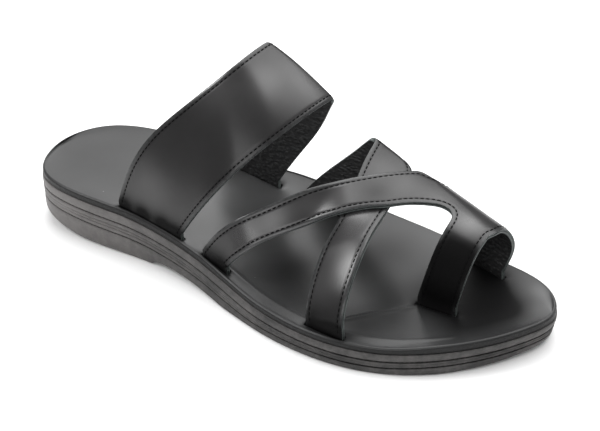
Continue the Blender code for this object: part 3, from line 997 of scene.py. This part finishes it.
def thicken(shape, thickness):
    faced = set(shape.verts)
    bmesh.ops.solidify(shape, geom=shape.faces[:], thickness=thickness)
    rim = {patch for patch in shape.faces
           if 0 < sum(corner in faced for corner in patch.verts) < len(patch.verts)}
    for patch in rim:
        patch.material_index = 1
    corners = [edge for edge in shape.edges
               if len(edge.link_faces) == 2 and len(rim.intersection(edge.link_faces)) == 1]
    size = strap["edgeRound"] * min(thickness / strap["leather"], 1)
    bmesh.ops.bevel(shape, geom=corners, offset=size, offset_type="OFFSET", segments=3, profile=0.5,
                    affect="EDGES", material=-1, clamp_overlap=True)
    shape.normal_update()


def pressed(shape, other, depth, fade):  # move a sheet along its normals where another strap crosses it
    away = nearest(places(other))(places(shape))
    normals = np.array([corner.normal for corner in shape.verts])
    move(shape, places(shape) - (depth * (1 - step(0.001, fade, away)))[:, None] * normals)
    shape.normal_update()


instepShape = bandSheet(instep, strap["instepWidth"])
crossShape = bandSheet(cross, strap["crossWidth"])
toeShape = toeSheet(strap["toeWidth"])
for shape in (instepShape, crossShape, toeShape):
    evened(shape, 6)
flatCross = crossShape.copy()
pressed(crossShape, toeShape, strap["sink"], strap["sinkFade"])
pressed(toeShape, flatCross, -strap["raise"], strap["sinkFade"])
flatCross.free()
for shape in (crossShape, toeShape):
    evened(shape, 4)
print("strap sheets made")

# Painted highlights and shade on each strap, the painted dark feet among them: where it shines more or
# less, by a spot's row, its share across, its reach and how much
instepShine = columns("row share reach part", (
    (0.00, 0.10, 0.006, -0.50), (0.00, 0.40, 0.006, -0.55), (0.00, 0.70, 0.006, -0.55),
    (0.00, 0.95, 0.006, -0.50), (0.40, 0.35, 0.012, 0.30), (1.20, 0.60, 0.014, -0.04),
    (1.90, 0.06, 0.012, 0.34), (2.10, 0.30, 0.012, 0.14), (2.38, 0.45, 0.009, 0.30),
    (2.36, 0.85, 0.008, 0.25), (2.90, 0.85, 0.012, 0.20), (3.20, 0.60, 0.014, 0.36),
    (6.00, 0.50, 0.014, -0.30),
))
crossShine = columns("row share reach part", (
    (0.00, 0.15, 0.006, -0.40), (0.00, 0.60, 0.006, -0.40), (0.00, 0.95, 0.006, -0.40),
    (0.70, 0.40, 0.010, 0.10), (1.95, 0.45, 0.007, 0.50), (1.70, 0.45, 0.007, 0.45),
    (1.45, 0.85, 0.008, 0.40), (2.73, 0.45, 0.009, 0.15), (3.30, 0.50, 0.010, -0.10),
    (6.00, 0.50, 0.012, -0.30),
))
toeShine = columns("row share reach part", (
    (0.00, 0.20, 0.006, -0.30), (0.00, 0.80, 0.007, -0.45), (0.50, 0.40, 0.008, 0.04),
    (1.21, 0.35, 0.007, 0.55), (1.15, 0.80, 0.006, 0.50), (2.00, 0.50, 0.009, 0.40),
    (2.75, 0.50, 0.007, 0.40), (3.42, 0.30, 0.006, 0.30), (3.35, 0.75, 0.005, 0.30),
    (4.00, 0.55, 0.006, -0.12), (4.55, 0.45, 0.006, 0.06), (5.71, 0.50, 0.012, 0.14),
    (6.50, 0.70, 0.008, -0.10), (10.0, 0.50, 0.012, -0.40),
))
legShine = columns("row share reach part", (
    (0.30, 0.40, 0.008, 0.50), (1.40, 0.20, 0.009, -0.34), (1.40, 0.80, 0.009, -0.34),
    (2.00, 0.20, 0.009, -0.30), (2.00, 0.80, 0.009, -0.30), (2.70, 0.20, 0.009, -0.34),
    (2.70, 0.80, 0.009, -0.34),
))


def shone(table, pointAt):
    return [(pointAt(np.array([row]), share)[0], reach, part)
            for row, share, reach, part in zip(*table.values())]


layered("instep_band", instepShape, ["instep_strap"],
        shone(instepShine, lambda at, share: bandPoints(instep, at, share)))
print("instep strap made")
layered("cross_band", crossShape, [],
        shone(crossShine, lambda at, share: bandPoints(cross, at, share)))
layered("toe_band", toeShape, ["crossed_straps"],
        shone(toeShine, toePoints) + shone(legShine, legPoints))
print("crossed straps made")


# Insole

insole = {
    "cells": 120,
    "baseCells": 8,
    "slotRoom": 0.0003,
    "slotEnd": 0.0007,
    "cutTop": 0.06,
    "cutDepth": 0.058,
    "slotDip": 0.00045,
    "slotDipWidth": 0.0028,
    "shadeWidth": 0.0030,
    "rimWidth": 0.0052,
    "rimDrop": 0.0009,
    "rimSpan": (0.42, 0.52, 0.80, 0.90),  # where along the outer side the rim is pressed down
    "rimRidge": 0.00025,
    "rimRidgeWidth": 0.0012,
    "creaseHeight": 0.00042,
    "creaseWidth": 0.0011,
    "creaseStep": 0.00030,
    "creaseSpan": 0.020,
    "creaseBehind": (0.002, 0.014),
    # the base level of the painted sheen on the insole
    "sheen": 0.55,
}
# Painted highlights and shade on the insole, the painted shadow of the toe loop among them: along and
# across shares, reach and how much
insoleShine = columns("along across reach part", (
    (0.100, 0.050, 0.050, -0.18), (0.373, 0.180, 0.022, 0.40), (0.430, 0.230, 0.016, 0.25),
    (0.470, -0.100, 0.022, 0.25), (0.565, -0.171, 0.015, -0.48), (0.610, -0.380, 0.016, -0.32),
    (0.680, 0.180, 0.020, -0.32), (0.750, -0.390, 0.011, -0.34), (0.700, -0.300, 0.014, -0.14),
    (0.760, -0.100, 0.014, -0.12), (0.830, 0.040, 0.017, -0.52), (0.880, 0.160, 0.016, -0.50),
    (0.900, -0.050, 0.016, -0.50), (0.890, -0.200, 0.012, -0.24), (0.850, 0.300, 0.014, -0.44),
    (0.945, 0.060, 0.011, -0.35), (0.985, 0.120, 0.007, 0.30), (0.965, 0.240, 0.007, 0.25),
))
crease = columns("along across", (
    (0.808, -0.110), (0.783, -0.187), (0.766, -0.241), (0.748, -0.289), (0.732, -0.346), (0.715, -0.400),
))


def footLines():  # the outer face's line in each slot, with the side it faces
    share = np.linspace(0, 1, 40)
    last = len(toe["rear"]) - 1.0
    return [
        (bandPoints(instep, np.zeros(40), share), -1), (bandPoints(instep, np.full(40, 6.0), share), 1),
        (bandPoints(cross, np.zeros(40), share), -1), (bandPoints(cross, np.full(40, 6.0), share), 1),
        (toePoints(np.zeros(40), share), -1), (toePoints(np.full(40, last), share), 1),
        (legPoints(np.full(40, 3.0), share), -1),
    ]


def slotCutters():
    cutters = bmesh.new()
    depth = strap["leather"] + strap["lining"] + strap["glue"] + insole["slotRoom"]
    for line, side in footLines():
        line = line[:, :2]
        ends = [(line[k] - line[j]) / np.linalg.norm(line[k] - line[j]) for k, j in ((0, 1), (-1, -2))]
        first, last = line[0] + ends[0] * insole["slotEnd"], line[-1] + ends[1] * insole["slotEnd"]
        line = np.concatenate([[first], line, [last]])
        run = np.gradient(line, axis=0)
        facing = np.stack([run[:, 1], -run[:, 0]], 1) / np.linalg.norm(run, axis=1)[:, None]
        facing *= np.sign(side * facing[:, 1:])

        def place(u, v):
            spot = np.round(u * (len(line) - 1)).astype(int)
            out = insole["slotRoom"] - v * (depth + insole["slotRoom"])
            flat = line[spot] + out[:, None] * facing[spot]
            return np.column_stack([flat, np.full(len(flat), insole["cutTop"])])
        slab = sheet(len(line) - 1, 1, place)
        slab.faces.ensure_lookup_table()
        slab.normal_update()
        downwards = 1 if slab.faces[0].normal.z > 0 else -1
        bmesh.ops.solidify(slab, geom=slab.faces[:], thickness=insole["cutDepth"] * downwards)
        join(cutters, slab)
    bmesh.ops.recalc_face_normals(cutters, faces=cutters.faces[:])
    return cutters


def slotted(shape, cutters):
    holders = []
    for name, part in (("insole_blank", shape), ("slot_cutters", cutters)):
        mesh = bpy.data.meshes.new(name)
        part.to_mesh(mesh)
        part.free()
        holders.append(placed(name, mesh))
    cutting = holders[0].modifiers.new("slots", "BOOLEAN")
    cutting.operation = "DIFFERENCE"
    cutting.solver = "EXACT"
    cutting.object = holders[1]
    bpy.context.view_layer.update()
    whole = holders[0].evaluated_get(bpy.context.evaluated_depsgraph_get())
    result = bmesh.new()
    result.from_mesh(whole.to_mesh())
    whole.to_mesh_clear()
    for holder in holders:
        bpy.data.objects.remove(holder)
    return result


def makeInsole():
    edge = sole["edgeRound"]
    along, across = ring[:, 0], ring[:, 1]
    begin, full, fade, end = insole["rimSpan"]
    rimDrop = insole["rimDrop"] * step(begin, full, along) * (1 - step(fade, end, along)) * (across < 0)
    top = rest(along, across) - rimDrop
    lowest = outsoleTop(along, across) + sole["fitGap"]
    rings = []
    for inset, below in ((1.4, 0.0), (0.9, 0.06), (0.45, 0.25), (0.15, 0.6), (0.0, 1.0)):
        rings.append(np.column_stack([ringPoints - inset * edge * ringNormals, top - below * edge]))
    for share in (0.25, 0.5, 0.75, 1.0):
        rings.append(np.column_stack([ringPoints, (top - edge) + share * (lowest - top + edge)]))
    rings = np.array(rings)
    toRim = nearest(np.column_stack([rings[0][:, :2], np.zeros(len(ring))]))
    slots = np.concatenate([line for line, _ in footLines()])
    toSlot = nearest(np.column_stack([slots[:, :2], np.zeros(len(slots))]))
    bentLine = evenly(spotAt(crease["along"], crease["across"], 0 * crease["along"]), 0.0004)
    toCrease = nearest(bentLine)

    def dished(spot, share, station):
        flat = spot * (1, 1, 0)
        height = rest(*shares(spot)) - sole["dish"] * (1 - (2 * share - 1) ** 4)
        inwards = toRim(flat)
        drop = rimDrop[(len(ring) - station) % len(ring)] * (share > 0.5)
        height -= drop * (1 - step(0.0, insole["rimWidth"], inwards))
        fromRidge = (inwards - insole["rimWidth"]) / insole["rimRidgeWidth"]
        height += insole["rimRidge"] * (drop > 0) * np.exp(-fromRidge ** 2)
        height -= insole["slotDip"] * np.exp(-(toSlot(flat) / insole["slotDipWidth"]) ** 2)
        away = toCrease(flat)
        behind = np.interp(spot[:, 1], bentLine[::-1, 1], bentLine[::-1, 0]) - spot[:, 0]
        faded = np.exp(-((spot[:, 1] - bentLine[:, 1].mean()) / insole["creaseSpan"]) ** 4)
        near, far = insole["creaseBehind"]
        height += insole["creaseHeight"] * np.exp(-(away / insole["creaseWidth"]) ** 2) * faded
        height -= insole["creaseStep"] * faded * step(0, near, behind) * (1 - step(near, far, behind))
        return height

    shape = wrapped(rings)
    join(shape, cap(rings[0], insole["cells"], dished))
    join(shape, cap(rings[-1], insole["baseCells"],
                    lambda spot, share, station: outsoleTop(*shares(spot)) + sole["fitGap"]))
    closedOutwards(shape)
    shape = slotted(shape, slotCutters())
    shape.normal_update()
    for patch in shape.faces:
        patch.material_index = 0 if patch.normal.z > 0.45 else 1
    shine = [(spotAt(alongShare, acrossShare, rest(alongShare, acrossShare)), reach, part)
             for alongShare, acrossShare, reach, part in zip(*insoleShine.values())]
    painted = {
        # painted shadow around the straps' slots
        "slotShadow": lambda spots: 1 - step(0.0006, insole["shadeWidth"], toSlot(spots * (1, 1, 0))),
        "sheen": paintedSheen(shine, insole["sheen"]),
    }
    finished("insole_board", shape, ["insole", "board"], painted, ["insole"])


makeInsole()
print("insole made")


# Floor and light

floorLook = {"colour": (0.90, 0.90, 0.90), "mottleScale": 30.0, "specular": 0.2}
studio = {
    "floorSize": 4.0,
    "sky": 0.34,
    "key": {"place": (0.08, 0.42, 0.95), "aim": (0.06, 0.30, 0.0), "size": (1.5, 1.05), "power": 19.0},
    "back": {"place": (-0.85, 1.00, 0.85), "aim": (0.0, 0.0, 0.0), "size": (0.8, 0.6), "power": 5.0},
    "side": {"place": (-0.72, -0.42, 0.85), "aim": (-0.05, 0.0, 0.0), "size": (0.4, 0.4), "power": 5.5},
    "front": {"place": (0.38, -1.08, 0.64), "aim": (0.0, 0.0, 0.03), "size": (1.1, 0.5), "power": 4.4},
}


def floorRecipe(start, place):
    return {"Roughness": 0.7 + 0.1 * place.noise(floorLook["mottleScale"])}


def makeStudio():
    shape = bmesh.new()
    bmesh.ops.create_grid(shape, x_segments=2, y_segments=2, size=studio["floorSize"])
    mesh = bpy.data.meshes.new("floor")
    shape.to_mesh(mesh)
    shape.free()
    floor = placed("floor", mesh)
    mesh.materials.append(newMaterial("pale_floor", floorLook, floorRecipe))
    world = bpy.data.worlds.new("studio")
    bpy.context.scene.world = world
    world.use_nodes = True
    sky = world.node_tree.nodes["Background"]
    sky.inputs["Color"].default_value = (1, 1, 1, 1)
    sky.inputs["Strength"].default_value = studio["sky"]
    for name in ("key", "back", "side", "front"):
        wanted = studio[name]
        lamp = bpy.data.lights.new(name, "AREA")
        lamp.shape = "RECTANGLE"
        lamp.size, lamp.size_y = wanted["size"]
        lamp.energy = wanted["power"]
        holder = placed(name, lamp)
        holder.location = wanted["place"]
        holder.rotation_mode = "QUATERNION"
        towards = Vector(wanted["aim"]) - Vector(wanted["place"])
        holder.rotation_quaternion = towards.to_track_quat("-Z", "Y")


makeStudio()
bpy.context.scene.view_settings.view_transform = "Standard"
print("studio made")
